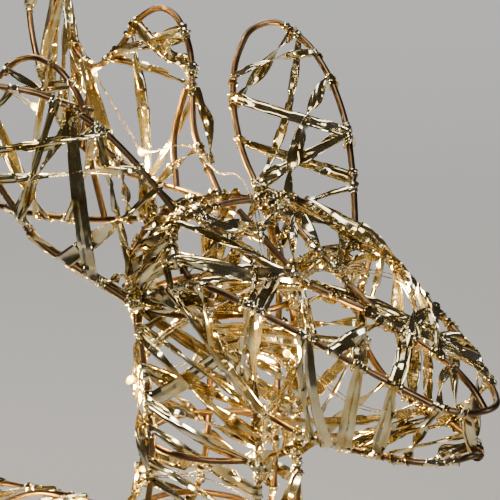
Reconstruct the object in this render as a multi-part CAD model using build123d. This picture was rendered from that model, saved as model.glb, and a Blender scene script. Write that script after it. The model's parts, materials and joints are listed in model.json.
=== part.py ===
from build123d import *
import math
import os
import random

# Light up yard reindeer: a welded wire figure laced with metallic foil tape and strung with micro LEDs.
# It stands on four hooves and faces -Y. Millimetres, +Z up, ground at Z = 0.
# Until it is written, everything is laid out with Y measured back from the middle of the ears.

# ---- driving dimensions ----
wire_radius = 2.0
tape_width = 8.0            # crumpled
open_tape_width = 10.0      # where a strand lies open and flat
tape_thickness = 0.4
string_radius = 0.7
led_radius = 2.2
led_length = 7.0
ear_height = 900.0          # ground to the middle of the head, between the ears
middle_y = 219.5            # from the ears back to the middle of the whole figure
hinge_height = 390.0        # both leg hinges
front_hinge_y = 112.0
hind_hinge_y = 545.0
front_leg_x = 42.0
hind_leg_x = 68.0
front_eye_x = 57.0
hind_eye_x = 84.0
rod_radius = 2.5
running_gap = 0.05          # radial clearance of every pin and rod
eye_radius = 4.6
eye_length = 8.0
stake_hole_radius = 3.5
stake_plate_thickness = 3.0
body_angles = (10, 60, 120, 170, 205, 252, 288, 335)
neck_angles = (10, 60, 120, 170, 252, 288)

# Stations of the cage from the head down the neck and back along the body:
# (y, z, slope of the centre line below the horizontal, half width, half depth)
stations = (
    (10, 892, 90, 47, 32),
    (10, 858, 90, 57, 48),
    (5, 770, 88, 51, 50),
    (14, 705, 78, 56, 58),
    (48, 645, 58, 66, 80),
    (105, 603, 33, 78, 100),
    (185, 583, 10, 84, 106),
    (285, 577, 2, 85, 100),
    (385, 580, -2, 82, 95),
    (480, 588, -4, 84, 98),
    (560, 592, -8, 70, 80),
    (612, 592, -10, 38, 44),
)
neck_end = 4                # the station where the neck is clipped to the body

# ---- helpers ----
dice = random.Random(7)
paths = {}


def head(x, y, z):
    return Vector(x, y, ear_height + z)


def mirrored(points):
    return [Vector(-p.X, p.Y, p.Z) for p in points]


def across(half, tip=None):
    """A line of points over the middle plane: one side, the tip, and the other side backwards."""
    middle = [tip] if tip else []
    return list(half) + middle + mirrored(half)[::-1]


def corner(before, here, after):
    """Turn at a corner in radians, and the shorter of its two runs."""
    turn = math.radians((here - before).get_angle(after - here))
    return turn, min((here - before).length, (after - here).length)


def neighbours(points, index, closed):
    if closed:
        return points[index - 1], points[(index + 1) % len(points)]
    return points[index - 1], points[index + 1]


def path_through(points, closed=False, reach=0.45):
    """A line of straight runs and tangent arcs that passes through the points."""
    inner = range(len(points)) if closed else range(1, len(points) - 1)
    corners = list(points)
    for index in inner:
        before, after = neighbours(points, index, closed)
        here = points[index]
        turn, run = corner(before, here, after)
        radius = reach * run / math.tan(turn / 2)
        outward = (here - before).normalized() - (after - here).normalized()
        corners[index] = here + outward.normalized() * radius * (1 / math.cos(turn / 2) - 1)
    radii = []
    for index in inner:
        before, after = neighbours(corners, index, closed)
        turn, run = corner(before, corners[index], after)
        radii.append(reach * run / math.tan(turn / 2))
    return FilletPolyline(*corners, radius=radii, close=closed)


def tube(path, radius=wire_radius):
    section = Plane(origin=path @ 0, z_dir=path % 0) * Circle(radius)
    return sweep(section, path=path)


def wire(name, points, closed=False):
    """One bent wire, kept by name so that tape can be laced to it."""
    paths[name] = path_through(points, closed)
    return tube(paths[name])


def along_x(x_from, x_to, y, z, radius, hole=0):
    """A round bar or tube along X."""
    plane = Plane(origin=(x_from, y, z), z_dir=(1, 0, 0))
    bar = extrude(plane * Circle(radius), x_to - x_from)
    if hole:
        bar -= extrude(plane * Circle(hole), x_to - x_from)
    return bar


def write(name, solids):
    node = Compound(children=list(solids)).moved(Location((0, -middle_y, 0)))
    export_step(node, "parts/" + name + ".step")


# ---- cage ----
def station_at(place):
    """Station at a whole or fractional place in the list."""
    low = min(int(place), len(stations) - 2)
    share = place - low
    return [a + (b - a) * share for a, b in zip(stations[low], stations[low + 1])]


def cage_point(place, angle, inset=0.0, shift=0.0):
    """Point of the cage at a station; the angle runs from the left side (0) over the back (90)."""
    y, z, slope, half_width, half_depth = station_at(place)
    slope = math.radians(slope)
    angle = math.radians(angle)
    side = (half_width - inset) * math.cos(angle)
    lift = (half_depth - inset) * math.sin(angle)
    return Vector(
        side,
        y + lift * math.sin(slope) + shift * math.cos(slope),
        z + lift * math.cos(slope) - shift * math.sin(slope),
    )


def hoop(name, place, shift=0.0, inset=2 * wire_radius, turns=18):
    points = [cage_point(place, 360 * k / turns, inset, shift) for k in range(turns)]
    return wire(name, points, closed=True)


def cage_wires(prefix, angles, places, first_shift=0.0, last_shift=0.0):
    wires = []
    for index, angle in enumerate(angles):
        points = [cage_point(place, angle) for place in places]
        points[0] = cage_point(places[0], angle, shift=first_shift)
        points[-1] = cage_point(places[-1], angle, shift=last_shift)
        wires.append(wire(prefix + str(index), points))
    return wires


# ---- foil tape ----
def strand(start, end, centre, width=tape_width):
    """A flat stretch of tape from one wire to another, lying on the side away from the centre."""
    middle = (start + end) / 2
    span = end - start
    outward = middle - centre
    outward -= span * (outward.dot(span) / span.length**2)
    outward = outward.normalized()
    lying = Plane(origin=middle + outward * (wire_radius + tape_thickness), x_dir=span, z_dir=outward)
    return lying * Box(span.length + 2 * wire_radius, width, tape_thickness)


def ties(rows, centre, width=tape_width):
    """Tape between pairs of named wires, at the given shares of their lengths."""
    strands = []
    for first, at_first, second, at_second in rows:
        strands.append(strand(paths[first] @ at_first, paths[second] @ at_second, centre, width))
    return strands


def lace(first, second, count, centre=None, span=(0.03, 0.97), other_span=None):
    """Zigzag of strands between two wires, unevenly spaced as hand lacing is."""
    other_span = other_span or span
    strands = []
    for index in range(count):
        place = index + 0.5 + dice.uniform(-0.4, 0.4)
        other = place + dice.choice((-1.6, -0.9, 0.8, 1.7))
        places = [min(max(value / count, 0.0), 1.0) for value in (place, other)]
        start = paths[first] @ (span[0] + (span[1] - span[0]) * places[0])
        end = paths[second] @ (other_span[0] + (other_span[1] - other_span[0]) * places[1])
        strands.append(strand(start, end, centre or cage_centre((start + end) / 2)))
    return strands


def cage_centre(point):
    """Nearest point of the cage's centre line."""
    centres = [Vector(0, y, z) for y, z, *rest in stations]
    return min(centres, key=lambda centre: (centre - point).length)


def lace_ring(prefix, counts):
    """Lacing all round a cage, from each long wire to the next; one count of strands for each gap."""
    strands = []
    for index, count in enumerate(counts):
        strands += lace(prefix + str(index), prefix + str((index + 1) % len(counts)), count)
    return strands


def head_tape():
    snout = head(0, -130, -60)
    skull = head(0, -10, -30)
    far_muzzle = (0.43, 0.2)
    near_jaw, far_jaw = (0.6, 0.82), (0.4, 0.18)
    strands = ties((
        ("bridge", 0.53, "muzzle", 0.645), ("muzzle", 0.645, "jaw", 0.67),
        ("bridge", 0.67, "muzzle", 0.605), ("muzzle", 0.605, "jaw", 0.625),
        ("bridge", 0.26, "muzzle", 0.71), ("muzzle", 0.71, "jaw", 0.695),
        ("bridge", 0.63, "muzzle", 0.395),
    ), snout, open_tape_width)
    strands += ties((
        ("bridge", 0.83, "muzzle", 0.555), ("muzzle", 0.555, "jaw", 0.59),
        ("muzzle", 0.72, "jaw", 0.72), ("muzzle", 0.53, "jaw", 0.47),
        ("jaw", 0.535, "jaw", 0.44), ("jaw", 0.555, "jaw", 0.42),
        ("jaw", 0.94, "jaw", 0.13), ("bridge", 0.60, "muzzle", 0.68),
    ), snout)
    strands += lace("bridge", "muzzle", 7, snout, (0.3, 0.85), far_muzzle)
    strands += lace("muzzle", "jaw", 6, snout, far_muzzle, far_jaw)
    strands += lace("jaw", "jaw", 5, snout, near_jaw, far_jaw)
    write("tape_muzzle", strands)

    strands = ties((
        ("muzzle", 0.995, "jaw", 0.99), ("crown_front", 0.30, "muzzle", 0.12),
        ("crown_front", 0.20, "muzzle", 0.20), ("jaw", 0.92, "neck5", 0.19),
        ("crown_front", 0.82, "muzzle", 0.90),
    ), skull, open_tape_width)
    strands += ties((
        ("brow_left", 0.65, "muzzle", 0.15), ("muzzle", 0.80, "jaw", 0.86), ("muzzle", 0.90, "jaw", 0.80),
        ("brow_right", 0.5, "muzzle", 0.78), ("crown_front", 0.90, "crown_back", 0.98),
    ), skull)
    for side, count, muzzle, jaw, crown in (
        ("right", 4, (0.76, 0.99), (0.76, 0.97), (0.55, 0.97)),
        ("left", 5, (0.24, 0.01), (0.24, 0.03), (0.45, 0.03)),
    ):
        strands += lace("crown_front", "brow_" + side, 3, skull, crown, (0.0, 0.6))
        strands += lace("brow_" + side, "muzzle", count, skull, (0.1, 0.8), muzzle)
        strands += lace("muzzle", "jaw", count, skull, muzzle, jaw)
        strands += lace("crown_front", "crown_back", 6, skull, crown, crown)
        strands += lace("bridge", "brow_" + side, 2, skull, (0.05, 0.4), (0.1, 0.8))
    strands += lace("crown_back", "neck2", 4, skull, (0.5, 0.95), (0.0, 0.25))
    strands += lace("crown_back", "neck1", 4, skull, (0.5, 0.05), (0.0, 0.25))
    strands += lace("jaw", "neck4", 5, skull, (0.97, 0.8), (0.12, 0.45))
    strands += lace("jaw", "neck5", 4, skull, (0.03, 0.2), (0.12, 0.45))
    strands += lace("muzzle", "neck4", 4, skull, (0.86, 1.0), (0.02, 0.2))
    strands += lace("muzzle", "neck5", 4, skull, (0.14, 0.0), (0.02, 0.2))
    write("tape_head", strands)


def ear_tape():
    strands = ties((
        ("left_ear", 0.50, "left_ear", 0.77), ("left_ear", 0.41, "left_ear", 0.72),
        ("left_ear", 0.485, "left_ear", 0.97), ("left_ear", 0.355, "crown_front", 0.28),
        ("left_ear", 0.765, "left_ear", 0.205), ("left_ear", 0.855, "left_ear", 0.11),
        ("left_ear", 0.21, "left_ear", 0.965), ("left_ear", 0.09, "crown_front", 0.21),
    ), head(30, 60, 60))
    strands += ties((("right_ear", 0.73, "right_ear", 0.09),), head(-30, 90, 40), open_tape_width)
    strands += ties((
        ("right_ear", 0.70, "right_ear", 0.26),
        ("right_ear", 0.745, "right_ear", 0.27), ("right_ear", 0.35, "right_ear", 0.90),
        ("right_ear", 0.79, "crown_back", 0.93), ("right_ear", 0.23, "crown_back", 0.985),
        ("right_ear", 0.07, "crown_back", 0.90), ("right_ear", 0.01, "crown_front", 0.80),
        ("right_ear", 0.44, "right_ear", 0.62), ("right_ear", 0.40, "right_ear", 0.80),
        ("right_ear", 0.15, "right_ear", 0.95),
    ), head(-30, 90, 40))
    write("tape_ears", strands)


def antler_tape():
    centre = head(0, 130, 60)
    rows = (
        ("left_antler", ((0.21, 0.88), (0.20, 0.10), (0.245, 0.09), (0.09, 0.88), (0.27, 0.85),
                         (0.09, 0.03), (0.90, 0.05), (0.13, 0.24))),
        ("right_antler", ((0.22, 0.87), (0.19, 0.10), (0.25, 0.12), (0.08, 0.89), (0.28, 0.84),
                          (0.06, 0.94), (0.03, 0.96), (0.14, 0.86))),
    )
    strands = []
    for name, shares in rows:
        strands += ties([(name, first, name, second) for first, second in shares], centre)
        strands += lace(name, name, 13, centre, (0.29, 0.48), (0.82, 0.52))
    write("tape_antlers", strands)


def body_tape():
    throat = Vector(0, 8, 800)
    strands = ties((
        ("neck3", 0.20, "neck4", 0.39), ("neck3", 0.14, "neck5", 0.35), ("neck3", 0.37, "neck4", 0.44),
        ("neck4", 0.43, "neck5", 0.42), ("neck3", 0.43, "neck4", 0.50),
    ), throat, open_tape_width)
    strands += ties((
        ("neck3", 0.18, "neck4", 0.33), ("neck3", 0.29, "neck5", 0.38), ("neck3", 0.36, "neck4", 0.40),
        ("neck4", 0.36, "neck5", 0.33), ("neck2", 0.30, "neck3", 0.36), ("neck2", 0.40, "neck3", 0.45),
    ), throat)
    strands += lace("neck3", "neck4", 9, None, (0.5, 0.97))
    write("tape_neck", strands + lace_ring("neck", (9, 8, 8, 4, 8, 11)))
    tail_tape = lace("tail", "tail", 5, Vector(0, 600, 660), (0.08, 0.42), (0.92, 0.58))
    write("tape_body", lace_ring("body", [14] * len(body_angles)) + tail_tape)
    strands = []
    for side, sign in (("left", 1), ("right", -1)):
        inside = Vector(sign * 40, front_hinge_y + 20, 500)
        name = "shoulder_" + side
        strands += lace(name, name, 9, inside, (0.02, 0.42), (0.98, 0.58))
        inside = Vector(sign * 50, hind_hinge_y - 10, 520)
        name = "thigh_" + side
        strands += lace(name, name, 12, inside, (0.02, 0.42), (0.98, 0.58))
    write("tape_shoulders_and_thighs", strands)


def leg_tape(pair, leg_x):
    strands = []
    for sign, side in ((1, "left"), (-1, "right")):
        name = pair + "_" + side
        for first, second in ((0, 1), (1, 2), (2, 0)):
            for piece in range(8):
                low = 0.06 + 0.11 * piece
                middle = paths[name + "1"] @ (low + 0.05)
                centre = Vector(sign * leg_x, middle.Y - 4, middle.Z)
                strands += lace(name + str(first), name + str(second), 1, centre, (low, low + 0.1))
    write("tape_" + pair + "_legs", strands)


# ---- head ----
def head_wires():
    muzzle_half = [
        head(60, 22, -40), head(66, -10, -24), head(67, -54, -11), head(51.5, -115, -28.5),
        head(40, -161, -43), head(21.5, -203, -60), head(12, -214, -62.5),
    ]
    muzzle = wire("muzzle", across(muzzle_half, head(0, -218, -62.5)))
    bridge = wire("bridge", [
        head(0, -8, 14), head(0, -62, -16), head(0, -96, -22), head(0, -141, -30),
        head(0, -170, -36), head(0, -193, -44), head(0, -208, -53), head(0, -217, -62),
    ])
    jaw_half = [
        head(64, -56, -14), head(60, -49, -43), head(54, -60, -66), head(50, -82, -82),
        head(46, -112, -91), head(37, -154, -94), head(24, -187, -95.5), head(12, -200, -95),
    ]
    jaw = wire("jaw", across(jaw_half, head(0, -205, -93)))
    front_half = [head(66, -38, -9), head(62, -18, 4), head(46, -4, 13), head(20, 0, 16)]
    back_half = [head(61, 20, -37), head(58, 24, -10), head(44, 24, 6), head(20, 28, 13)]
    crown = [
        wire("crown_front", across(front_half, head(0, 1, 17))),
        wire("crown_back", across(back_half, head(0, 29, 14))),
    ]
    brow = []
    for side, name in ((1, "brow_left"), (-1, "brow_right")):
        points = [head(side * 30, -4, 15), head(side * 20, -60, -7), head(side * 2, -124, -24)]
        brow.append(wire(name, points))
    write("muzzle_wire", [muzzle])
    write("nose_bridge_wire", [bridge])
    write("jaw_wire", [jaw])
    write("crown_wires", crown)
    write("brow_wires", brow)


def ear(name, root, tip, side, outline):
    """Leaf-shaped loop; the outline gives (along, across) from the root towards the tip and the side."""
    along = (tip - root).normalized()
    wide = side.normalized()
    points = [root + along * a + wide * b for a, b in outline]
    solid = wire(name, points)
    write(name + "_loop", [solid])


def ears():
    ear(
        "left_ear", head(55.5, -8.5, 5.5), head(120, 95, 96), Vector(21, -60, -10),
        [(0, 33), (37, 38), (82, 41), (117, 36), (142, 24), (153, 2), (140, -17), (108, -33), (68, -41),
         (29, -40), (0, -32)])
    ear(
        "right_ear", head(-55.5, 6.5, -7.5), head(-125, 99, 65), Vector(-21, 15, -57),
        [(0, 31), (34, 31), (66, 31), (104, 15), (132, 2), (143, -12), (132, -31), (96, -46), (58, -47),
         (26, -40), (0, -31)])


def antler_points(side, front_tine, sag):
    """Closed outline: up the front tine, over the notch, up the beam and back along the lower edge."""
    foot = [(18, 28, 12), (26, 52, 30)]
    beam = [
        (50, 188, 62), (55, 213, 75), (59, 224, 100), (65, 226, 150), (70, 231, 200), (73, 247, 231),
        (73, 266, 223), (71, 274, 188), (67, 272, 130), (61, 262, 72), (54, 227, 22 - sag),
        (44, 170, 4 - sag), (33, 105, 5 - sag), (18, 17, 9),
    ]
    return [head(side * x, y, z) for x, y, z in foot + front_tine + beam]


def antlers():
    left_tine = [
        (31, 68, 46), (37, 76, 68), (43, 85, 91), (48, 103, 108), (50, 121, 111), (50, 140, 102),
        (50, 161, 79),
    ]
    right_tine = [
        (31, 72, 38), (37, 84, 52), (42, 88, 71), (46, 102, 88), (50, 120, 94), (50, 139, 89), (50, 160, 74),
    ]
    for side, name, tine, sag in ((1, "left_antler", left_tine, 0), (-1, "right_antler", right_tine, 12)):
        loop = wire(name, antler_points(side, tine, sag))
        struts = (
            ("_front_strut", (39, 84, 68), (34, 90, 38), (29, 82, 6 - 0.8 * sag)),
            ("_back_strut", (50, 188, 62), (49, 192, 34), (46, 194, 10 - sag)),
            ("_top_strut", (66, 227, 170), (70, 250, 165), (70, 274, 172)),
        )
        write(name + "_loop", [loop])
        write(name + "_struts", [
            wire(name + end, [head(side * x, y, z) for x, y, z in points]) for end, *points in struts])


# ---- neck and body ----
def neck():
    write("neck_wires", cage_wires("neck", neck_angles, range(neck_end + 1), last_shift=-2 * wire_radius))
    hoops = [hoop("neck_hoop1", 1), hoop("neck_hoop2", 2), hoop("neck_hoop3", 3)]
    hoops.append(hoop("neck_base", neck_end, shift=-3.0, inset=wire_radius))
    write("neck_hoops", hoops)


def body():
    places = range(neck_end, len(stations))
    write("body_wires", cage_wires("body", body_angles, places, first_shift=2 * wire_radius))
    hoops = [hoop("body_collar", neck_end, shift=3.0, inset=wire_radius)]
    for place in range(neck_end + 1, len(stations)):
        hoops.append(hoop("body_hoop" + str(place), place))
    write("body_hoops", hoops)
    tail_points = [
        Vector(12, 606, 622), Vector(19, 628, 644), Vector(20, 648, 670), Vector(10, 660, 690),
    ]
    write("tail_loop", [wire("tail", across(tail_points, Vector(0, 663, 694)))])


def neck_clips():
    """Flat spring clips that hold the neck's base hoop against the body's collar hoop."""
    clips = []
    for angle in (30, 150, 210, 330):
        centre = cage_point(neck_end, angle, inset=wire_radius)
        ahead = cage_point(neck_end, angle + 4, inset=wire_radius)
        slope = math.radians(stations[neck_end][2])
        down = Vector(0, math.cos(slope), -math.sin(slope))
        plane = Plane(origin=centre, x_dir=down, z_dir=ahead - centre)
        outer = SlotOverall(2 * (3.0 + wire_radius + 1.1), 2 * (wire_radius + 1.1))
        inner = SlotOverall(2 * (3.0 + wire_radius + 0.1), 2 * (wire_radius + 0.1))
        clips.append(extrude(plane * (outer - inner), 5, both=True))
    write("neck_clips", clips)


def hinge_loop(name, side, x, y, front, rear):
    """Loop that comes down from the body, turns under the hinge eye and goes back up."""
    turn = eye_radius + wire_radius
    bottom = [
        Vector(x, y - turn, hinge_height + 3), Vector(x, y - 0.6 * turn, hinge_height - 0.8 * turn),
        Vector(x, y + 0.6 * turn, hinge_height - 0.8 * turn), Vector(x, y + turn, hinge_height + 3),
    ]
    points = front + bottom + rear
    return wire(name, points if side > 0 else mirrored(points))


def shoulders_and_thighs():
    shoulders = []
    thighs = []
    for side, word in ((1, "left"), (-1, "right")):
        shoulders.append(hinge_loop(
            "shoulder_" + word, side, front_eye_x, front_hinge_y,
            [Vector(77, 72, 596), Vector(71, 80, 500), Vector(60, 98, 425)],
            [Vector(61, 127, 425), Vector(73, 160, 490), Vector(84, 192, 575)]))
        thighs.append(hinge_loop(
            "thigh_" + word, side, hind_eye_x, hind_hinge_y,
            [Vector(84, 452, 600), Vector(84, 474, 510), Vector(84, 524, 430)],
            [Vector(83, 564, 440), Vector(76, 588, 520), Vector(60, 584, 600)]))
    write("shoulder_loops", shoulders)
    write("thigh_loops", thighs)
    eyes = []
    for x, y in ((front_eye_x, front_hinge_y), (hind_eye_x, hind_hinge_y)):
        for side in (1, -1):
            start = side * x - eye_length / 2
            bore = rod_radius + running_gap
            eyes.append(along_x(start, start + eye_length, y, hinge_height, eye_radius, bore))
    write("hinge_eyes", eyes)


# ---- legs ----
def hinge_rod(pair, leg_x, eye_x, y):
    """Rod of one pair of legs with the collars that the leg wires are welded to, and its end caps."""
    reach = eye_x + eye_length / 2 + 2.5
    rod = along_x(-reach, reach, y, hinge_height, rod_radius)
    for side in (1, -1):
        rod += along_x(side * leg_x - 8, side * leg_x + 8, y, hinge_height, 4.5)
    caps = [along_x(start, start + 2.5, y, hinge_height, 5.5) - rod for start in (reach - 2.2, -reach - 0.3)]
    write(pair + "_hinge_rod", [rod])
    write(pair + "_rod_caps", caps)


def leg_wires(pair, leg_x, hinge_y, front_line, rear_line, brace_back):
    """Three wires for each leg, a hoof loop, and a brace between the two legs."""
    wires = []
    hooves = []
    for side, word in ((1, "left"), (-1, "right")):
        x = side * leg_x
        name = pair + "_" + word
        wires.append(wire(name + "0", [Vector(x, hinge_y + y, z) for y, z in front_line]))
        for number, reach in ((1, 8.0), (2, -8.0)):
            points = [Vector(x + reach * w, hinge_y + y, z) for w, y, z in rear_line]
            wires.append(wire(name + str(number), points))
        hoof_y = hinge_y + front_line[-1][0] + 12
        hoof = [
            Vector(x + 11 * math.cos(k * math.pi / 6), hoof_y + 23 * math.sin(k * math.pi / 6), wire_radius)
            for k in range(12)
        ]
        hooves.append(wire(name + "_hoof", hoof, closed=True))
    brace_z = 210.0
    inner = leg_x - 7
    middle = [
        Vector(inner, hinge_y + brace_back[0], brace_z), Vector(inner - 12, hinge_y + brace_back[1], brace_z),
        Vector(inner * 0.3, hinge_y + brace_back[1] + 2, brace_z),
    ]
    wires.append(wire(pair + "_brace", across(middle)))
    write(pair + "_leg_wires", wires)
    write(pair + "_hoof_loops", hooves)


def stake_plates(pair, leg_x, hoof_y):
    """Small plate across each hoof loop with a round hole for a ground stake."""
    plates = []
    for side in (1, -1):
        plate = Pos(side * leg_x, hoof_y, stake_plate_thickness / 2) * Box(20, 15, stake_plate_thickness)
        plate -= Pos(side * leg_x, hoof_y, stake_plate_thickness / 2) * Cylinder(
            stake_hole_radius, stake_plate_thickness)
        plates.append(plate)
    write(pair + "_stake_plates", plates)


front_leg_front = ((-7, 384), (-12, 330), (-17, 205), (-9, 60), (-16, 5))
front_leg_rear = ((0.9, 6, 384), (0.9, 11, 330), (0.75, 4, 205), (0.65, 6, 60), (0.9, 14, 5))
hind_leg_front = ((-7, 384), (-4, 325), (22, 205), (6, 60), (-8, 5))
hind_leg_rear = ((0.9, 6, 384), (0.9, 20, 325), (0.75, 42, 210), (0.65, 22, 60), (0.9, 20, 5))


def legs():
    hinge_rod("front", front_leg_x, front_eye_x, front_hinge_y)
    hinge_rod("hind", hind_leg_x, hind_eye_x, hind_hinge_y)
    leg_wires("front", front_leg_x, front_hinge_y, front_leg_front, front_leg_rear, (5, 8))
    leg_wires("hind", hind_leg_x, hind_hinge_y, hind_leg_front, hind_leg_rear, (40, 52))
    stake_plates("front", front_leg_x, front_hinge_y + front_leg_front[-1][0] + 12)
    stake_plates("hind", hind_leg_x, hind_hinge_y + hind_leg_front[-1][0] + 12)


# ---- battery box ----
box_length = 84.0           # along X
box_width = 54.0            # along Y
box_low = 506.0
box_high = 532.0
box_y = 326.0
box_wall = 2.0
gasket_thickness = 0.8
lid_thickness = 2.5
cell_radius = 7.1
cell_length = 50.5
pin_radius = 1.0
knuckle_radius = 2.4
button_radius = 3.9
screw_radius = 1.2
gland_x = -33.0
clip_radius = 3.4
clip_reach = 5.0            # half of a clip's length along the wire
clip_pad = 10.0             # half of a clip's foot across the wire
clip_foot = 1.6
clip_web = 1.5              # half thickness of the web between the wire and the foot
lug_starts = (10.3, -16.3)
lug_length = 6.0
lid_knuckle_reach = 10.0
tab_reach = 6.0             # half width of the screw boss and of the lid's tab
divider_x = -27.0
divider_thickness = 1.2
cell_start = -23.5
button_face = -45.4
board_x = -32.2
board_reach = 20.0
box_middle = (box_low + box_high) / 2
box_front = box_y - box_width / 2
box_back = box_y + box_width / 2
lid_low = box_high + gasket_thickness
hinge_y = box_front - 3.0
hinge_z = lid_low + 0.7
boss_y = box_back + 3.0


def block(x_from, x_to, y_from, y_to, z_from, z_to):
    middle = ((x_from + x_to) / 2, (y_from + y_to) / 2, (z_from + z_to) / 2)
    return Pos(*middle) * Box(x_to - x_from, y_to - y_from, z_to - z_from)


def upright(x, y, z_from, z_to, radius):
    return Pos(x, y, (z_from + z_to) / 2) * Cylinder(radius, z_to - z_from)


def rounded_plate(length, width, radius, z_from, z_to):
    plate = extrude(RectangleRounded(length, width, radius), z_to - z_from)
    return Pos(0, box_y, z_from) * plate


def box_shell():
    """Open-topped box with a divider, hinge lugs, a screw boss and holes for the button and the gland."""
    inner_length, inner_width = box_length - 2 * box_wall, box_width - 2 * box_wall
    shell = rounded_plate(box_length, box_width, 5, box_low, box_high)
    shell -= rounded_plate(inner_length, inner_width, 3, box_low + box_wall, box_high)
    divider_end = divider_x + divider_thickness
    shell += block(divider_x, divider_end, box_front + 1, box_back - 1, box_low + 1, box_high - 4)
    for x_from in lug_starts:
        shell += along_x(x_from, x_from + lug_length, hinge_y, hinge_z, knuckle_radius)
        shell += block(x_from, x_from + lug_length, hinge_y, box_front + 1, hinge_z - 5, hinge_z - 1.6)
    shell += block(-tab_reach, tab_reach, box_back - 1, boss_y + 3, box_high - 12, box_high)
    shell -= along_x(-20, 20, hinge_y, hinge_z, pin_radius + running_gap)
    shell -= upright(0, boss_y, box_high - 9, box_high, screw_radius + 0.4)
    shell -= along_x(-box_length, -box_length / 2 + 5, box_y, box_middle, button_radius + 0.1)
    shell -= gland_bar(box_back - 4, box_back + 4, 3.2)
    return shell


def gland_bar(y_from, y_to, radius):
    plane = Plane(origin=(gland_x, y_from, box_middle), z_dir=(0, 1, 0))
    return extrude(plane * Circle(radius), y_to - y_from)


def box_lid():
    lid = rounded_plate(box_length, box_width, 5, lid_low, lid_low + lid_thickness)
    lid_top = lid_low + lid_thickness
    lid += along_x(-lid_knuckle_reach, lid_knuckle_reach, hinge_y, hinge_z, knuckle_radius)
    lid += block(-lid_knuckle_reach, lid_knuckle_reach, hinge_y, box_front + 2, lid_low + 0.1, lid_top)
    lid += block(-tab_reach, tab_reach, box_back - 2, boss_y + 3, lid_low, lid_top)
    for rib in range(-3, 4):
        lid += block(rib * 9 - 1, rib * 9 + 1, box_y - 18, box_y + 18, lid_low + 1, lid_top + 0.6)
    lid -= along_x(-20, 20, hinge_y, hinge_z, pin_radius + running_gap)
    lid -= upright(0, boss_y, lid_low - 1, lid_low + lid_thickness, screw_radius)
    return lid


def box_clip(name):
    """Foot under the box on a web that rises from a collar round one belly wire, and its two screws."""
    path = paths[name]
    share = min((k / 400 for k in range(401)), key=lambda k: abs((path @ k).Y - box_y))
    centre = path @ share
    ring_plane = Plane(origin=centre, z_dir=path % share)
    near, far = box_y - clip_reach, box_y + clip_reach
    clip = extrude(ring_plane * Circle(clip_radius), clip_reach, both=True)
    clip += block(centre.X - clip_web, centre.X + clip_web, near, far, centre.Z, box_low - 1)
    clip += block(centre.X - clip_pad, centre.X + clip_pad, near, far, box_low - clip_foot, box_low)
    clip -= extrude(ring_plane * Circle(wire_radius + running_gap), 2 * clip_reach, both=True)
    clip -= rounded_plate(box_length, box_width, 5, box_low, box_high)
    screws = []
    for x in (centre.X - 7, centre.X + 7):
        clip -= upright(x, box_y, box_low - 2, box_low, screw_radius)
        screw = upright(x, box_y, box_low - clip_foot, box_low + 1.6, screw_radius)
        screws.append(screw + upright(x, box_y, box_low - clip_foot - 1.3, box_low - clip_foot, 2.1))
    return clip, screws


def battery_box():
    shell = box_shell()
    clips = []
    clip_screws = []
    for name in ("body5", "body6"):
        clip, screws = box_clip(name)
        clips.append(clip)
        clip_screws += screws
    for screw in clip_screws:
        shell -= screw
    write("battery_box", [shell])
    write("box_clips", clips)
    write("box_clip_screws", clip_screws)
    write("battery_lid", [box_lid()])
    write("lid_hinge_pin", [along_x(-16.5, 16.5, hinge_y, hinge_z, pin_radius)])
    gasket = rounded_plate(box_length - 1, box_width - 1, 4.5, box_high, lid_low)
    gasket -= rounded_plate(box_length - 2 * box_wall, box_width - 2 * box_wall, 3, box_high, lid_low)
    write("lid_gasket", [gasket])
    lid_top = lid_low + lid_thickness
    screw = upright(0, boss_y, box_high - 4, lid_top, screw_radius)
    screw += upright(0, boss_y, lid_top, lid_top + 1.8, 2.6)
    screw -= block(-3, 3, boss_y - 0.4, boss_y + 0.4, lid_top + 1, lid_top + 2)
    write("lid_screw", [screw])

    cell_z = box_low + box_wall + cell_radius + 0.2
    cells = []
    plates = []
    leaves = []
    for row in (-1, 0, 1):
        y = box_y + row * (2 * cell_radius + 0.8)
        cell_end = cell_start + cell_length
        cell = along_x(cell_start, cell_end - 1, y, cell_z, cell_radius)
        cells.append(cell + along_x(cell_end - 1, cell_end, y, cell_z, 2.7))
        plates.append(block(-25.7, -25.2, y - 5, y + 5, cell_z - 5, cell_z + 5))
        leaf = block(39.3, 39.9, y - 5, y + 5, cell_z - 5, cell_z + 5)
        leaf += block(28.5, 39.5, y - 2, y + 2, cell_z + 3.4, cell_z + 4)
        leaves.append(leaf + block(28, 28.6, y - 2, y + 2, cell_z - 3, cell_z + 4))
    write("cells", cells)
    write("contact_plates", plates)
    write("contact_springs", leaves)

    back = board_x + 1.6
    board = block(board_x, back, box_y - board_reach, box_y + board_reach, box_low + 3, box_high - 3)
    board += block(board_x - 3.2, board_x, box_y - 3, box_y + 3, box_middle - 3, box_middle + 3)
    board += along_x(board_x - 4.4, board_x - 3.2, box_y, box_middle, 1.6)
    board += block(back, back + 1.4, box_y - 14, box_y - 8, box_middle - 2, box_middle + 2)
    board += block(back, back + 1, box_y + 8, box_y + 11, box_middle - 1, box_middle + 1)
    write("circuit_board", [board])
    flange_x = button_face + 5.6
    button = along_x(button_face, flange_x, box_y, box_middle, button_radius)
    button += along_x(flange_x, flange_x + 1.2, box_y, box_middle, button_radius + 1.2)
    write("push_button", [button])
    boot = along_x(-43.2, -42, box_y, box_middle, button_radius + 3)
    write("button_boot", [boot - along_x(-43.2, -42, box_y, box_middle, button_radius + 0.1)])
    gland = gland_bar(box_back - 2.5, box_back + 7, 3.2) + gland_bar(box_back, box_back + 2.5, 4.6)
    write("cable_gland", [gland - gland_bar(box_back - 3, box_back + 8, string_radius)])


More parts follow.
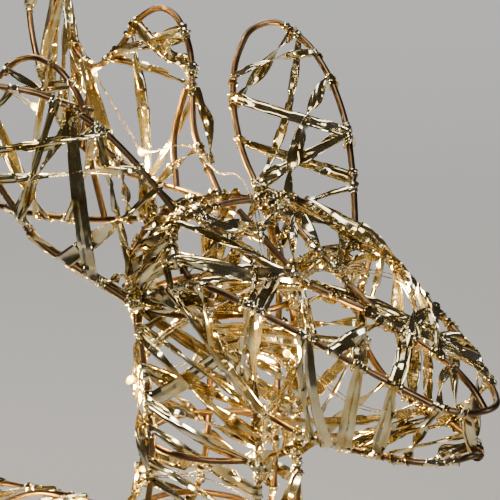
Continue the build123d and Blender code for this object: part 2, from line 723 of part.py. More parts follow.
# ---- light string ----
def led_drop():
    """Round-ended drop, standing on the origin along Z."""
    shoulder = led_length - led_radius
    lean = led_radius * math.sqrt(0.5)
    outline = Polyline((0, led_length), (0, 0), (led_radius, 0), (led_radius, shoulder))
    outline += ThreePointArc((led_radius, shoulder), (lean, shoulder + lean), (0, led_length))
    return revolve(Plane.XZ * make_face(outline), axis=Axis.Z)


drop = led_drop()


def led(point, outward):
    """LED standing on the string."""
    return drop.moved(Plane(origin=point, z_dir=outward).location)


def bend_radius(before, here, after):
    turn, run = corner(before, here, after)
    return 0.45 * run / math.tan(turn / 2)


def string_tube(points):
    """Thin insulated wire pair along straight runs and tangent arcs."""
    radii = [bend_radius(*points[k - 1:k + 2]) for k in range(1, len(points) - 1)]
    path = FilletPolyline(*points, radius=radii)
    solid = tube(path, string_radius)
    share = solid.volume / (math.pi * string_radius**2 * path.length)
    print("string", round(path.length), "mm, radii", round(min(radii), 1), "to", round(max(radii), 1))
    print("volume over section times length", round(share, 4))
    return solid


def body_string():
    """From the gland back to the rump, over the back in waves to the neck, and round the neck to the head."""
    points = [
        Vector(gland_x, box_back + 1, box_middle), Vector(gland_x, box_back + 16, box_middle),
        Vector(-46, box_back + 36, box_middle + 6),
    ]
    leds = []
    for k in range(4):
        points.append(cage_point(8.4 + 0.55 * k, 208 + 14 * k, inset=9))
        leds.append(k + 3)
    waves = 84
    for k in range(waves):
        place = 10.5 - 5.8 * k / (waves - 1)
        points.append(cage_point(place, 90 - 110 * math.cos(0.37 * k + 0.2), inset=7))
    for k in range(18):
        points.append(cage_point(4.4 - 0.172 * k, 20 + 42 * k, inset=6.5))
    leds += list(range(9, len(points), 3))
    return points, leds


head_route = (
    (-46, 37, -90), (-56, 7, -61), (-67, -30, -38), (-64, -65, -20), (-35, -72, -8), (18, -84, -8),
    (44, -97, -17), (50, -99, -22), (44, -128, -52), (18, -150, -80), (-22, -140, -78), (-50, -104, -43),
    (-47, -88, -32), (-8, -38, -2), (4, -18, 22), (10, 4, 34), (12, 24, 28), (22, 61, 41), (28, 113, 22),
    (40, 140, 30), (50, 185, 58), (58, 226, 92), (70, 236, 190), (40, 262, 215), (-20, 270, 212),
    (-68, 250, 190), (-62, 232, 110), (-52, 196, 62), (-50, 150, 70), (-48, 122, 61),
)
head_leds = (0, 7, 11, 18, 20, 22, 24, 26, 29)


def light_string():
    points, led_indices = body_string()
    leds = [led(points[k], points[k] - cage_centre(points[k])) for k in led_indices]
    middle = head(0, 20, -30)
    for index in head_leds:
        place = head(*head_route[index])
        leds.append(led(place, place - middle))
    write("light_string", [string_tube(points + [head(*place) for place in head_route])])
    write("leds", leds)


def leg_string(pair, leg_x, hinge_y, front_line, rear_line):
    """String down each leg from the hinge rod, and the short lead that feeds it from the belly."""
    strings = []
    leds = []
    for side in (1, -1):
        knee_y, knee_z = front_line[2]
        foot_y, foot_z = front_line[3]
        route = [
            Vector(side * (leg_x - 18), hinge_y, hinge_height + 3.4),
            Vector(side * (leg_x - 12), hinge_y + 1, hinge_height + 3.8),
            Vector(side * (leg_x - 9.5), hinge_y + 9, hinge_height - 6),
            Vector(side * (leg_x - 6), hinge_y + rear_line[1][1] - 5, hinge_height - 60),
            Vector(side * (leg_x + 5), hinge_y + (front_line[1][0] + knee_y) / 2, (330 + knee_z) / 2),
            Vector(side * (leg_x - 4), hinge_y + knee_y + 12, knee_z),
            Vector(side * (leg_x + 4), hinge_y + (knee_y + foot_y) / 2 + 4, (knee_z + foot_z) / 2),
            Vector(side * (leg_x - 3), hinge_y + foot_y + 8, foot_z),
        ]
        strings.append(string_tube(route))
        leds += [led(route[k], Vector(side, -0.6, 0)) for k in (4, 6)]
        leds += [led(route[k], Vector(-side, -0.6, 0)) for k in (5, 7)]
    write(pair + "_leg_string", strings)
    write(pair + "_leg_leds", leds)


def leads():
    solids = []
    for leg_x, y in ((front_leg_x, front_hinge_y), (hind_leg_x, hind_hinge_y)):
        for side in (1, -1):
            x = side * (leg_x - 22)
            solids.append(upright(x, y, hinge_height + 3.2, 498 if y < box_y else 520, string_radius))
    write("leg_leads", solids)


os.makedirs("parts", exist_ok=True)
head_wires()
ears()
antlers()
neck()
body()
neck_clips()
shoulders_and_thighs()
legs()
head_tape()
ear_tape()
antler_tape()
body_tape()
leg_tape("front", front_leg_x)
leg_tape("hind", hind_leg_x)
battery_box()
light_string()
leg_string("front", front_leg_x, front_hinge_y, front_leg_front, front_leg_rear)
leg_string("hind", hind_leg_x, hind_hinge_y, hind_leg_front, hind_leg_rear)
leads()
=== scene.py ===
import json
import math
import random

import bpy
import numpy as np
from mathutils import Matrix, Quaternion, Vector
from mathutils.bvhtree import BVHTree


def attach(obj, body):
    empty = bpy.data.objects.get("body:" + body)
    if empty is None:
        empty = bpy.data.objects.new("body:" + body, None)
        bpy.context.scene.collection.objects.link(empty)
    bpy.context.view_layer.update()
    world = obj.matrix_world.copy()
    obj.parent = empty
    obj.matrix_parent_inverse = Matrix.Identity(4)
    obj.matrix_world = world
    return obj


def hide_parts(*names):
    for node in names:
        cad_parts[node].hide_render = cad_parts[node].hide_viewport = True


# Looks of the light up yard reindeer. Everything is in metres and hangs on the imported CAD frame:
# each flat CAD bar of tape becomes a crumpled, twisted ribbon of metallised film wound round its two
# wires, and each CAD string becomes a pair of thin wires with resin drops.

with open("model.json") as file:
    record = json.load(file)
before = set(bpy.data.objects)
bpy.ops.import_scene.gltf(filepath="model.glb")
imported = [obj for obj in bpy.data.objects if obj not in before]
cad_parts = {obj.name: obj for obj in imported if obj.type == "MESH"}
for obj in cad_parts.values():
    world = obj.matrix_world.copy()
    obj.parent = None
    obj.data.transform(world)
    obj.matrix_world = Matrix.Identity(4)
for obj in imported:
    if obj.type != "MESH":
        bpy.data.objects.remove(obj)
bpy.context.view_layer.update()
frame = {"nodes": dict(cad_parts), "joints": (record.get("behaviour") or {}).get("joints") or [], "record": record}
joints = {joint["name"]: joint for joint in frame["joints"]}

# ---- sizes ----
wire_radius = 0.002
wire_probe = 0.0035            # reach of the search for the sides of a wire
bar_widths = (0.008, 0.010)    # of the CAD bars: crumpled tape, and tape that lies open
bar_probe = 0.0015             # from a bar's middle plane towards each of its faces
string_cap_reach = 0.00145     # across the flat end of a CAD string
tape_width = 0.0088
film_thickness = 0.00009
film_lift = 0.0006             # from a wire's surface to the film wound on it
film_roughness = 0.00004
string_wire_radius = 0.00034
string_gap = 0.0010            # from the string's middle to each of its two wires
string_step = 0.004            # mesh step along a string
drop_radius = 0.0021
drop_length = 0.0066
drop_sink = 0.0006             # of the drop's foot into its string
drop_sides = 14
chip_height = 0.4              # share of the drop's length at which its chip sits

# ---- how the tape lies ----
facets = 4                     # flat strips across the film, between its lengthwise folds
ribbon_step = 0.0022           # mesh step along a ribbon
wound_turns = (0.5, 1.2)       # round a wire, at each end
wound_pitch = (0.002, 0.005)
wound_gathers = (0.5, 0.75, 0.96)   # how far the film is gathered where it is wound on a wire
wound_calm = 0.3               # how much of its rumples the film keeps there
pinched = 0.42                 # gather of the upper end of tape that lies open
kink_tilt = 0.16               # radians, spread of the whole film's tilt at a kink
crumpled = {
    "widths": (0.75, 1.08), "crease": 0.28, "half_turns": (0, 0, 1, -1, 1, -1, 2),
    "gathers": (0.55, 0.8, 0.93, 0.98, 1.0),
}
lying_open = {
    "widths": (1.05, 1.25), "crease": 0.30, "half_turns": (0, 0, 0, 0, 0, 0, 1),
    "gathers": (0.88, 0.94, 0.98),
}
open_share = 0.2               # of a node's crumpled bars that lie open after all
open_shares = {"tape_muzzle": 0.3, "tape_neck": 0.35}
doubled_shares = {"tape_head": 0.2, "tape_muzzle": 0.1, "tape_antlers": 0.15, "tape_ears": 0.15}
dice = random.Random(11)

# ---- light ----
led_power = 1.5
dense_led_power = 0.45         # below the neck, where the drops sit closer together
neck_height = 0.72
led_colour = (1.0, 0.63, 0.15)
backdrop_colour = (0.66, 0.65, 0.63, 1)
backdrop_strength = 0.9
warm_white = (1.0, 0.95, 0.88)
cool_white = (0.95, 0.97, 1.0)

# ---- view ----
camera_azimuth = math.radians(-42.0)
camera_elevation = math.radians(15.0)
camera_distance = 2.5
ear_height = 0.9
ears_before_hinge = 0.112      # from the front legs' hinge forward to the ears


# ---- reading the frame ----
def merged_mesh(node):
    """Points and faces of a CAD node, with vertices at one place made one."""
    mesh = frame["nodes"][node].data
    raw = np.empty(len(mesh.vertices) * 3)
    mesh.vertices.foreach_get("co", raw)
    points, same = np.unique(np.round(raw.reshape(-1, 3), 7), axis=0, return_inverse=True)
    same = same.reshape(-1)
    return points, [[int(same[v]) for v in face.vertices] for face in mesh.polygons]


def neighbour_lists(count, faces):
    """For each point, the points it shares an edge with."""
    linked = [set() for _ in range(count)]
    for face in faces:
        for a, b in zip(face, face[1:] + face[:1]):
            linked[a].add(b)
            linked[b].add(a)
    return linked


def solids_of(node):
    """The separate solids of a node, each as (points, neighbours of each point)."""
    points, faces = merged_mesh(node)
    linked = neighbour_lists(len(points), faces)
    seen = set()
    solids = []
    for first in range(len(points)):
        if first in seen or not linked[first]:
            continue
        group, front = {first}, [first]
        while front:
            front = [n for k in front for n in linked[k] if n not in group and not group.add(n)]
        seen |= group
        order = {k: i for i, k in enumerate(sorted(group))}
        solids.append((points[sorted(group)], [[order[n] for n in linked[k]] for k in sorted(group)]))
    return solids


def bars_of(node):
    """Flat bars of a tape node as (middle, long edge, normal, whether the tape lies open)."""
    bars = []
    for corners, _ in solids_of(node):
        edges = sorted((Vector(c - corners[0]) for c in corners), key=lambda edge: edge.length)
        normal = edges[1].normalized()
        in_plane = [edge for edge in edges[1:] if abs(edge.normalized().dot(normal)) < 0.02]
        misses = [(abs(in_plane[k].length - width), k, width) for k in (0, 1) for width in bar_widths]
        _, across, width = min(misses)
        middle = Vector(corners.mean(axis=0))
        bars.append((middle, in_plane[1 - across], normal, width == bar_widths[1]))
    return bars


def centre_line(solid):
    """Centres of the rings of a thin round bar, from one end cap to the other."""
    points, linked = solid
    end = layers_from(linked, [0])[-1][0]
    cap = [k for k in range(len(points)) if np.linalg.norm(points[k] - points[end]) < string_cap_reach]
    return [Vector(points[layer].mean(axis=0)) for layer in layers_from(linked, cap)]


def layers_from(linked, layer):
    """Layers of points met while walking a mesh away from its first ones."""
    seen = set(layer)
    layers = []
    while layer:
        layers.append(layer)
        layer = [n for k in layer for n in linked[k] if n not in seen and not seen.add(n)]
    return layers


def wire_tree(nodes):
    """Search tree over the surfaces of the wires that tape is wound on."""
    points, faces = [], []
    for node in nodes:
        own_points, own_faces = merged_mesh(node)
        faces += [[len(points) + v for v in face] for face in own_faces]
        points += [Vector(p) for p in own_points]
    return BVHTree.FromPolygons(points, faces)


def wire_near(tree, point):
    """Centre and direction of the wire nearest to a point."""
    place, normal, _, _ = tree.find_nearest(point)
    centre = place - normal * wire_radius
    normals = [normal]
    for offset in (Vector((1, 0, 0)), Vector((0, 1, 0)), Vector((0, 0, 1))):
        for sign in (-1, 1):
            found, side_normal, _, _ = tree.find_nearest(centre + offset * sign * wire_probe)
            if (found - centre).length < 2.2 * wire_radius:
                normals.append(side_normal)
    spread = np.array(normals)
    _, vectors = np.linalg.eigh(spread.T @ spread)
    return centre, Vector(vectors[:, 0])


# ---- materials ----
def new_material(name, **settings):
    """A material with its node tree and its shader."""
    material = bpy.data.materials.new(name)
    material.use_nodes = True
    shader = material.node_tree.nodes["Principled BSDF"]
    for socket, value in settings.items():
        shader.inputs[socket.replace("_", " ")].default_value = value
    return material, material.node_tree, shader


def add_node(tree, kind, inputs=None, **settings):
    """A shader node; its inputs are linked when given as sockets and set when given as values."""
    node = tree.nodes.new(kind)
    for key, value in settings.items():
        setattr(node, key, value)
    for socket, value in (inputs or {}).items():
        if isinstance(value, bpy.types.NodeSocket):
            tree.links.new(value, node.inputs[socket])
        else:
            node.inputs[socket].default_value = value
    return node


def noise(tree, scale, detail=3.0, roughness=0.55, distortion=0.0):
    inputs = {
        "Vector": add_node(tree, "ShaderNodeTexCoord").outputs["Object"], "Scale": scale, "Detail": detail,
        "Roughness": roughness, "Distortion": distortion,
    }
    return add_node(tree, "ShaderNodeTexNoise", inputs).outputs["Fac"]


def ramp(tree, factor, stops):
    """Colour from a factor, through (place, colour) stops."""
    node = add_node(tree, "ShaderNodeValToRGB", {"Fac": factor})
    elements = node.color_ramp.elements
    while len(elements) < len(stops):
        elements.new(0.5)
    for element, (place, colour) in zip(elements, stops):
        element.position = place
        element.color = (*colour, 1.0)
    return node.outputs["Color"]


def scaled(tree, value, low, high):
    """A 0 to 1 value brought to the range from low to high."""
    node = add_node(tree, "ShaderNodeMapRange", {"Value": value, "To Min": low, "To Max": high})
    return node.outputs["Result"]


def bump(tree, shader, height, strength, distance):
    node = add_node(tree, "ShaderNodeBump", {"Height": height, "Strength": strength, "Distance": distance})
    tree.links.new(node.outputs["Normal"], shader.inputs["Normal"])


def bronze_wire():
    """Copper-brown lacquered steel wire, drawn lengthwise, with darker worn patches."""
    material, tree, shader = new_material("bronze_wire", Metallic=1.0, IOR=1.5)
    patches = noise(tree, 55.0, 5.0, 0.6)
    colours = ramp(tree, patches, (
        (0.25, (0.07, 0.043, 0.023)), (0.45, (0.135, 0.085, 0.047)), (0.62, (0.21, 0.14, 0.083)),
        (0.8, (0.34, 0.235, 0.145)),
    ))
    tree.links.new(colours, shader.inputs["Base Color"])
    fine = noise(tree, 900.0, 4.0, 0.7)
    tree.links.new(scaled(tree, fine, 0.24, 0.46), shader.inputs["Roughness"])
    bump(tree, shader, fine, 0.35, 0.00012)
    return material


def foil_tape():
    """Metallised film: pale champagne mirror, finely crinkled; the amber and smoky brown patches in its colour are
    painted reflections of the warm LED light.
    """
    material, tree, shader = new_material("foil_tape", Metallic=0.97)
    patches = noise(tree, 60.0, 2.0, 0.5, 0.4)
    # Painted reflection: the amber and brown stops stand for warm LED light reflected in the film. The pale
    # champagne stops are the film's own colour.
    colours = ramp(tree, patches, (
        (0.25, (0.42, 0.28, 0.09)), (0.40, (0.62, 0.49, 0.22)), (0.52, (0.76, 0.68, 0.42)),
        (0.66, (0.83, 0.78, 0.58)), (0.82, (0.83, 0.81, 0.71)),
    ))
    tree.links.new(colours, shader.inputs["Base Color"])
    crinkle = noise(tree, 130.0, 2.0, 0.45, 0.4)
    tree.links.new(scaled(tree, crinkle, 0.05, 0.16), shader.inputs["Roughness"])
    bump(tree, shader, crinkle, 0.14, 0.0006)
    return material


def string_metal():
    """Thin lacquered lead wire."""
    material, tree, shader = new_material("string_metal", Metallic=1.0)
    tone = noise(tree, 160.0)
    colours = ramp(tree, tone, ((0.3, (0.50, 0.42, 0.33)), (0.6, (0.80, 0.76, 0.70))))
    tree.links.new(colours, shader.inputs["Base Color"])
    tree.links.new(scaled(tree, tone, 0.18, 0.34), shader.inputs["Roughness"])
    return material


def glowing_resin():
    """Clear resin drop over a lit warm white chip: brightest near the chip."""
    material, tree, shader = new_material("glowing_resin", Roughness=0.12, IOR=1.5)
    glow = add_node(tree, "ShaderNodeAttribute", attribute_name="glow").outputs["Fac"]
    colours = ramp(tree, glow, ((0.0, (1.0, 0.50, 0.04)), (0.6, (1.0, 0.72, 0.13)), (1.0, (1.0, 0.93, 0.48))))
    tree.links.new(colours, shader.inputs["Emission Color"])
    tree.links.new(scaled(tree, glow, 3.0, 18.0), shader.inputs["Emission Strength"])
    shader.inputs["Base Color"].default_value = (0.55, 0.36, 0.12, 1.0)
    return material


def moulded_plastic(name, colour, rough=0.5):
    """Plastic or rubber with a fine moulded grain."""
    material, tree, shader = new_material(name, IOR=1.48)
    grain = noise(tree, 2600.0, 2.0)
    tone = noise(tree, 35.0, 4.0)
    darker = tuple(c * 0.8 for c in colour)
    tree.links.new(ramp(tree, tone, ((0.3, darker), (0.7, colour))), shader.inputs["Base Color"])
    tree.links.new(scaled(tree, tone, rough - 0.08, rough + 0.08), shader.inputs["Roughness"])
    bump(tree, shader, grain, 0.25, 0.0001)
    return material


def plain_metal(name, colour, rough):
    """Bare or plated metal with a slightly uneven tone."""
    material, tree, shader = new_material(name, Metallic=1.0)
    tone = noise(tree, 220.0, 5.0, 0.6)
    darker = tuple(c * 0.72 for c in colour)
    tree.links.new(ramp(tree, tone, ((0.3, darker), (0.65, colour))), shader.inputs["Base Color"])
    tree.links.new(scaled(tree, tone, rough - 0.07, rough + 0.1), shader.inputs["Roughness"])
    bump(tree, shader, noise(tree, 1500.0, 3.0), 0.15, 0.00008)
    return material


def set_material(piece, material):
    piece.data.materials.clear()
    piece.data.materials.append(material)


# ---- mesh pieces ----
def new_piece(name, points, faces, material, smooth_below=None):
    """An object from points and faces; edges sharper than the given degrees stay sharp."""
    mesh = bpy.data.meshes.new(name)
    mesh.from_pydata([tuple(p) for p in points], [], faces)
    mesh.update()
    mesh.polygons.foreach_set("use_smooth", [True] * len(mesh.polygons))
    if smooth_below is not None:
        mesh.set_sharp_from_angle(angle=math.radians(smooth_below))
    piece = bpy.data.objects.new(name, mesh)
    bpy.context.scene.collection.objects.link(piece)
    set_material(piece, material)
    return piece


def tube_rings(path, radius, sides=6):
    """Rings of points round a line, carried along it without twisting."""
    rings = []
    side = None
    for index, here in enumerate(path):
        ahead = path[min(index + 1, len(path) - 1)] - path[max(index - 1, 0)]
        along = ahead.normalized()
        if side is None:
            side = along.orthogonal().normalized()
        side = (side - along * side.dot(along)).normalized()
        other = along.cross(side)
        turns = [2 * math.pi * k / sides for k in range(sides)]
        rings.append([here + side * radius * math.cos(a) + other * radius * math.sin(a) for a in turns])
    return rings


def add_rings(points, faces, rings):
    """Adds a closed skin over equal rings of points, with flat ends."""
    base = len(points)
    sides = len(rings[0])
    for ring in rings:
        points.extend(ring)
    last = base + (len(rings) - 1) * sides
    for row in range(len(rings) - 1):
        for k in range(sides):
            a = base + row * sides + k
            b = base + row * sides + (k + 1) % sides
            faces.append((a, b, b + sides, a + sides))
    faces.append(tuple(range(base, base + sides))[::-1])
    faces.append(tuple(range(last, last + sides)))


# ---- foil tape ----
def across_profile(folds, gather, swing):
    """Places across the film and heights of its fold lines; each fold is (width, angle)."""
    pleat = math.acos(min(gather, 0.999))
    spread, lift = [0.0], [0.0]
    for index, (fold_width, angle) in enumerate(folds):
        angle = angle * gather + pleat * (1 if index % 2 else -1) + swing
        spread.append(spread[-1] + fold_width * math.cos(angle))
        lift.append(lift[-1] + fold_width * math.sin(angle))
    middle = (spread[0] + spread[-1]) / 2
    level = sum(lift) / len(lift)
    return [s - middle for s in spread], [h - level for h in lift]


def wound_end(centre, axis, outward, heading, turns):
    """Positions and normals of a ribbon wound round a wire, ending where it leaves for the other wire."""
    radial = (outward - axis * outward.dot(axis)).normalized()
    sense = 1.0 if axis.cross(radial).dot(heading) > 0 else -1.0
    steps = max(3, int(turns * 12))
    pitch = dice.uniform(*wound_pitch) * dice.choice((-1, 1))
    places = []
    for k in range(steps, 0, -1):
        angle = -sense * 2 * math.pi * turns * k / steps
        spoke = Quaternion(axis, angle) @ radial
        drift = axis * pitch * turns * k / steps
        places.append((centre + spoke * (wire_radius + film_lift) + drift, spoke))
    return places, radial


def facing_out(tree, ends, normal):
    """The normal of a bar turned away from the wires that its ends lie on."""
    inside = 0.0
    for end in ends:
        inside += tree.find_nearest(end - normal * bar_probe)[3]
        inside -= tree.find_nearest(end + normal * bar_probe)[3]
    return normal if inside < 0 else -normal


def ribbon_line(bar, tree, lie):
    """Places along one ribbon, wound on, across, and wound off, as (point, normal, gather, rumple)."""
    middle, long_edge, normal = bar
    along = long_edge.normalized()
    half = along * (long_edge.length / 2 - wire_radius)
    ends = (middle - half, middle + half)
    outward = facing_out(tree, ends, normal)
    wires = [wire_near(tree, end - outward * wire_radius) for end in ends]
    first, first_normal = wound_end(*wires[0], outward, along, dice.uniform(*wound_turns))
    last, last_normal = wound_end(*wires[1], outward, -along, dice.uniform(*wound_turns))
    start = wires[0][0] + first_normal * (wire_radius + film_lift)
    end = wires[1][0] + last_normal * (wire_radius + film_lift)
    span = end - start
    steps = max(5, int(span.length / ribbon_step))
    bow = outward * span.length * dice.uniform(-0.01, 0.05) + along.cross(outward) * dice.gauss(0, 0.001)
    half_turns = dice.choice(lie["half_turns"])
    ease = dice.uniform(0.6, 1.8)
    opened = dice.choice(lie["gathers"])
    gather_on, gather_off = dice.choice(wound_gathers), dice.choice(wound_gathers)
    falls = start.z > end.z
    if lie is lying_open:
        gather_on, gather_off = (pinched, opened) if falls else (opened, pinched)
    line = [(place, n, gather_on, wound_calm) for place, n in first]
    for k in range(steps + 1):
        share = k / steps
        normal_here = first_normal.lerp(last_normal, share).normalized()
        normal_here = Quaternion(span.normalized(), math.pi * half_turns * share**ease) @ normal_here
        if lie is lying_open:
            freedom = math.sin(math.pi / 2 * (share if falls else 1 - share)) ** 0.8
        else:
            freedom = min(1.0, 1.25 * math.sin(math.pi * share) ** 0.55)
        held = gather_on + (gather_off - gather_on) * share
        gather = held + (opened - held) * freedom
        rumple = wound_calm + (1.0 - wound_calm) * freedom
        line.append((start + span * share + bow * math.sin(math.pi * share), normal_here, gather, rumple))
    line += [(place, n, gather_off, wound_calm) for place, n in reversed(last)]
    return line


def add_ribbon(points, faces, line, lie):
    """Adds the film of one ribbon: flat facets between lengthwise folds, tilted anew at each kink."""
    base = len(points)
    shares = [dice.uniform(0.35, 1.6) for _ in range(facets)]
    width = tape_width * dice.uniform(*lie["widths"])
    crease = lie["crease"]
    folds = [[width * share / sum(shares), dice.gauss(0, crease)] for share in shares]
    swing = dice.gauss(0, 0.12)
    until_kink = dice.randint(2, 6)
    for index, (place, normal, gather, rumple) in enumerate(line):
        before = line[max(index - 1, 0)][0]
        after = line[min(index + 1, len(line) - 1)][0]
        along = (after - before).normalized()
        normal = (normal - along * normal.dot(along)).normalized()
        across = along.cross(normal)
        until_kink -= 1
        if until_kink < 0:
            until_kink = dice.randint(2, 7)
            swing = dice.gauss(0, kink_tilt)
            for fold in folds:
                fold[1] = 0.45 * fold[1] + dice.gauss(0, 0.8 * crease)
        spread, lift = across_profile([(w, angle * rumple) for w, angle in folds], gather, swing * rumple)
        for s, h in zip(spread, lift):
            shift = Vector((dice.gauss(0, 1), dice.gauss(0, 1), dice.gauss(0, 1))) * film_roughness
            points.append(place + across * s + normal * h + shift)
    row = facets + 1
    for index in range(len(line) - 1):
        for k in range(facets):
            a = base + index * row + k
            faces.append((a, a + 1, a + 1 + row, a + row))


def tape_piece(node, body, tree, material):
    """All the ribbons of one tape node, as film with a thickness; some bars get a second, leaning ribbon."""
    points, faces = [], []
    for middle, long_edge, normal, lies_open in bars_of(node):
        lies_open = lies_open or dice.random() < open_shares.get(node, open_share)
        lie = lying_open if lies_open else crumpled
        add_ribbon(points, faces, ribbon_line((middle, long_edge, normal), tree, lie), lie)
        if dice.random() < doubled_shares.get(node, 0.0):
            lean = Quaternion(normal, dice.gauss(0, 0.16))
            shift = long_edge.normalized().cross(normal) * dice.gauss(0, 0.006)
            line = ribbon_line((middle + shift, lean @ long_edge, normal), tree, crumpled)
            add_ribbon(points, faces, line, crumpled)
    piece = new_piece(node.replace("tape", "foil"), points, faces, material, smooth_below=20)
    film = piece.modifiers.new("film", "SOLIDIFY")
    film.thickness = film_thickness
    film.offset = 0.0
    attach(piece, body)
    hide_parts(node)


# ---- light string ----
def evenly_spaced(line, step):
    """Points at equal steps along a line."""
    lengths = [0.0]
    for a, b in zip(line, line[1:]):
        lengths.append(lengths[-1] + (b - a).length)
    count = max(2, int(lengths[-1] / step))
    spaced = []
    place = 0
    for k in range(count + 1):
        distance = lengths[-1] * k / count
        while place < len(lengths) - 2 and lengths[place + 1] < distance:
            place += 1
        piece_length = max(lengths[place + 1] - lengths[place], 1e-9)
        spaced.append(line[place].lerp(line[place + 1], (distance - lengths[place]) / piece_length))
    return spaced


def beside(line, side):
    """A wire that wanders round a line, starting at the given angle."""
    strand = []
    guide = line[1] - line[0]
    guide = guide.normalized().orthogonal().normalized()
    for k, here in enumerate(line):
        along = (line[min(k + 1, len(line) - 1)] - line[max(k - 1, 0)]).normalized()
        guide = (guide - along * guide.dot(along)).normalized()
        turn = side + 0.05 * k + 0.8 * math.sin(0.11 * k)
        reach = string_gap * (0.75 + 0.45 * math.sin(0.17 * k + 1.0))
        strand.append(here + Quaternion(along, turn) @ guide * reach)
    return strand


def string_pair(node, body, material):
    """The two thin wires of each CAD string of a node."""
    points, faces = [], []
    for solid in solids_of(node):
        line = evenly_spaced(centre_line(solid), string_step)
        for side in (0.0, math.pi):
            add_rings(points, faces, tube_rings(beside(line, side), string_wire_radius))
    piece = new_piece(node.replace("string", "string_wires"), points, faces, material)
    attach(piece, body)
    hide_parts(node)


def drop_frames(node):
    """Foot and direction of each LED of a node."""
    found = []
    for points, _ in solids_of(node):
        middle = points.mean(axis=0)
        _, vectors = np.linalg.eigh(np.cov((points - middle).T))
        axis = vectors[:, 2]
        heights = (points - middle) @ axis
        radii = np.linalg.norm((points - middle) - np.outer(heights, axis), axis=1)
        low, high = heights.min(), heights.max()
        low_radius = radii[heights < low + 1e-4].max()
        high_radius = radii[heights > high - 1e-4].max()
        if low_radius < high_radius:
            axis, low = -axis, -high
        found.append((Vector(middle + axis * low), Vector(axis)))
    return found


def led_piece(node, body, material):
    """Resin drops, each turned on a wheel and lit strongest over its chip."""
    points, faces, glow = [], [], []
    outline = [
        (0.0, 0.25), (0.12, 0.62), (0.28, 0.90), (0.45, 1.0), (0.62, 0.97), (0.78, 0.80), (0.90, 0.52),
        (0.98, 0.2),
    ]
    for foot, axis in drop_frames(node):
        side = axis.orthogonal().normalized()
        other = axis.cross(side)
        angles = [2 * math.pi * k / drop_sides for k in range(drop_sides)]
        spokes = [side * math.cos(angle) + other * math.sin(angle) for angle in angles]
        rings = []
        for height, width in outline:
            level = foot + axis * (height * drop_length - drop_sink)
            rings.append([level + spoke * width * drop_radius for spoke in spokes])
            glow += [max(0.0, 1.0 - abs(height - chip_height) * 1.7)] * drop_sides
        add_rings(points, faces, rings)
        add_led_light(foot + axis * chip_height * drop_length, body)
    piece = new_piece(node.replace("leds", "led_drops"), points, faces, material)
    attribute = piece.data.attributes.new("glow", "FLOAT", "POINT")
    attribute.data.foreach_set("value", glow)
    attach(piece, body)
    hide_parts(node)


def add_led_light(place, body):
    """The light that a drop throws on the tape and wires beside it."""
    light = bpy.data.lights.new("led_light", "POINT")
    light.energy = led_power if place.z > neck_height else dense_led_power
    light.color = led_colour
    light.shadow_soft_size = 0.006
    lamp = bpy.data.objects.new("led_light", light)
    bpy.context.scene.collection.objects.link(lamp)
    lamp.location = place
    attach(lamp, body)


# ---- stage ----
def add_floor():
    """Plain pale floor that runs into the backdrop."""
    size = 30.0
    mesh = bpy.data.meshes.new("floor")
    corners = [(-size, -size, 0), (size, -size, 0), (size, size, 0), (-size, size, 0)]
    mesh.from_pydata(corners, [], [(0, 1, 2, 3)])
    floor = bpy.data.objects.new("floor", mesh)
    bpy.context.scene.collection.objects.link(floor)
    material, tree, shader = new_material("floor", Roughness=0.75)
    tone = noise(tree, 1.2, 4.0)
    colours = ramp(tree, tone, ((0.3, (0.66, 0.65, 0.63)), (0.7, (0.72, 0.71, 0.69))))
    tree.links.new(colours, shader.inputs["Base Color"])
    place = add_node(tree, "ShaderNodeNewGeometry").outputs["Position"]
    distance = add_node(tree, "ShaderNodeVectorMath", {0: place}, operation="LENGTH").outputs["Value"]
    far = add_node(tree, "ShaderNodeMapRange", {"Value": distance, "From Min": 1.2, "From Max": 5.0},
                   interpolation_type="SMOOTHSTEP").outputs["Result"]
    seen = add_node(tree, "ShaderNodeLightPath").outputs["Is Camera Ray"]
    share = add_node(tree, "ShaderNodeMath", {0: far, 1: seen}, operation="MULTIPLY").outputs[0]
    haze = add_node(tree, "ShaderNodeEmission", {"Color": backdrop_colour, "Strength": backdrop_strength})
    mixed = add_node(tree, "ShaderNodeMixShader", {0: share, 1: shader.outputs[0], 2: haze.outputs[0]})
    tree.links.new(mixed.outputs[0], tree.nodes["Material Output"].inputs["Surface"])
    set_material(floor, material)


def add_softbox(name, place, target, size, power, colour):
    """A soft rectangular light that faces its target."""
    light = bpy.data.lights.new(name, "AREA")
    light.shape = "RECTANGLE"
    light.size, light.size_y = size
    light.energy = power
    light.color = colour
    lamp = bpy.data.objects.new(name, light)
    bpy.context.scene.collection.objects.link(lamp)
    lamp.location = place
    lamp.rotation_euler = (target - Vector(place)).to_track_quat("-Z", "Y").to_euler()
    lamp.visible_camera = False


def add_world():
    """Dark studio in the reflections, plain pale backdrop behind the object."""
    world = bpy.data.worlds.new("studio")
    bpy.context.scene.world = world
    world.use_nodes = True
    tree = world.node_tree
    tree.nodes.clear()
    dim = add_node(tree, "ShaderNodeBackground", {"Color": (0.30, 0.26, 0.22, 1), "Strength": 0.09})
    pale = add_node(tree, "ShaderNodeBackground", {"Color": backdrop_colour, "Strength": backdrop_strength})
    seen = add_node(tree, "ShaderNodeLightPath").outputs["Is Camera Ray"]
    mixed = add_node(tree, "ShaderNodeMixShader", {0: seen, 1: dim.outputs[0], 2: pale.outputs[0]})
    add_node(tree, "ShaderNodeOutputWorld", {"Surface": mixed.outputs[0]})


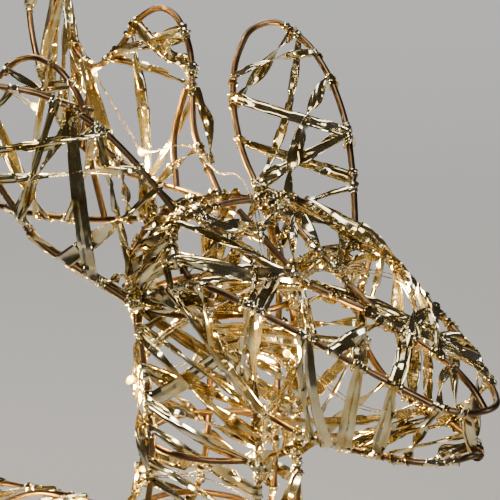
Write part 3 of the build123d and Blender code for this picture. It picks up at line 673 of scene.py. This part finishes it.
def add_camera(ear_middle):
    """Long lens from the front right of the head, a little above it."""
    right = Vector((math.cos(camera_azimuth), math.sin(camera_azimuth), 0))
    level = math.cos(camera_elevation)
    height = math.sin(camera_elevation)
    back = Vector((math.sin(camera_azimuth) * level, -math.cos(camera_azimuth) * level, height))
    up = back.cross(right)
    target = ear_middle + right * 0.012 - up * 0.0114
    camera = bpy.data.objects.new("camera", bpy.data.cameras.new("camera"))
    bpy.context.scene.collection.objects.link(camera)
    camera.location = target + back * camera_distance
    turned = Matrix((right, up, back)).transposed().to_4x4()
    camera.matrix_world = Matrix.Translation(camera.location) @ turned
    camera.data.lens = 300.0
    camera.data.sensor_width = 36.0
    camera.data.clip_end = 100.0
    bpy.context.scene.camera = camera


# ---- the model ----
def all_materials():
    """One material for each slot of the frame."""
    return {
        "bronze_wire": bronze_wire(),
        "foil_tape": foil_tape(),
        "string_wire": string_metal(),
        "led_drop": glowing_resin(),
        "steel_rod": plain_metal("steel_rod", (0.50, 0.47, 0.43), 0.32),
        "cap_plastic": moulded_plastic("cap_plastic", (0.045, 0.038, 0.032)),
        "box_plastic": moulded_plastic("box_plastic", (0.075, 0.06, 0.048), 0.55),
        "soft_rubber": moulded_plastic("soft_rubber", (0.03, 0.03, 0.03), 0.7),
        "zinc_screw": plain_metal("zinc_screw", (0.66, 0.66, 0.62), 0.3),
        "contact_metal": plain_metal("contact_metal", (0.75, 0.73, 0.68), 0.22),
        "cell_jacket": plain_metal("cell_jacket", (0.30, 0.31, 0.34), 0.3),
        "board": moulded_plastic("board", (0.05, 0.22, 0.09), 0.35),
    }


def dress_figure():
    """Materials on every CAD piece, then the foil, the string wires and the drops."""
    materials = all_materials()
    body_of = {n: body for body, names in frame["record"]["behaviour"]["bodies"].items() for n in names}
    slot_of = {row["node"]: row["material_slot"] for row in frame["record"]["subparts"]}
    for node, slot in slot_of.items():
        set_material(frame["nodes"][node], materials[slot])
    trees = {}
    for body in ("root", "front_legs", "hind_legs"):
        trees[body] = wire_tree([n for n, b in body_of.items() if b == body and slot_of[n] == "bronze_wire"])
    for node, slot in sorted(slot_of.items()):
        body = body_of[node]
        if slot == "foil_tape":
            tape_piece(node, body, trees[body], materials[slot])
        elif slot == "led_drop":
            led_piece(node, body, materials[slot])
        elif slot == "string_wire":
            string_pair(node, body, materials[slot])


def add_studio():
    """Floor, backdrop, soft lights and camera round the head."""
    hinge_y = joints["front_legs_fold"]["pos_m"][1]
    ear_middle = Vector((0, hinge_y - ears_before_hinge, ear_height))
    add_floor()
    add_world()
    add_softbox("key", (-2.2, -1.6, 2.6), ear_middle, (0.8, 0.8), 55, warm_white)
    add_softbox("fill", (1.8, -2.4, 1.6), ear_middle, (0.35, 1.3), 14, cool_white)
    add_softbox("top", (0.2, 0.6, 3.4), ear_middle, (1.2, 1.2), 30, warm_white)
    add_softbox("rim", (1.6, 2.2, 2.0), ear_middle, (0.4, 1.4), 22, warm_white)
    add_softbox("backdrop", (2.0, 3.2, 4.0), Vector((3.0, 4.5, 0)), (5.0, 3.0), 110, warm_white)
    add_camera(ear_middle)


dress_figure()
add_studio()
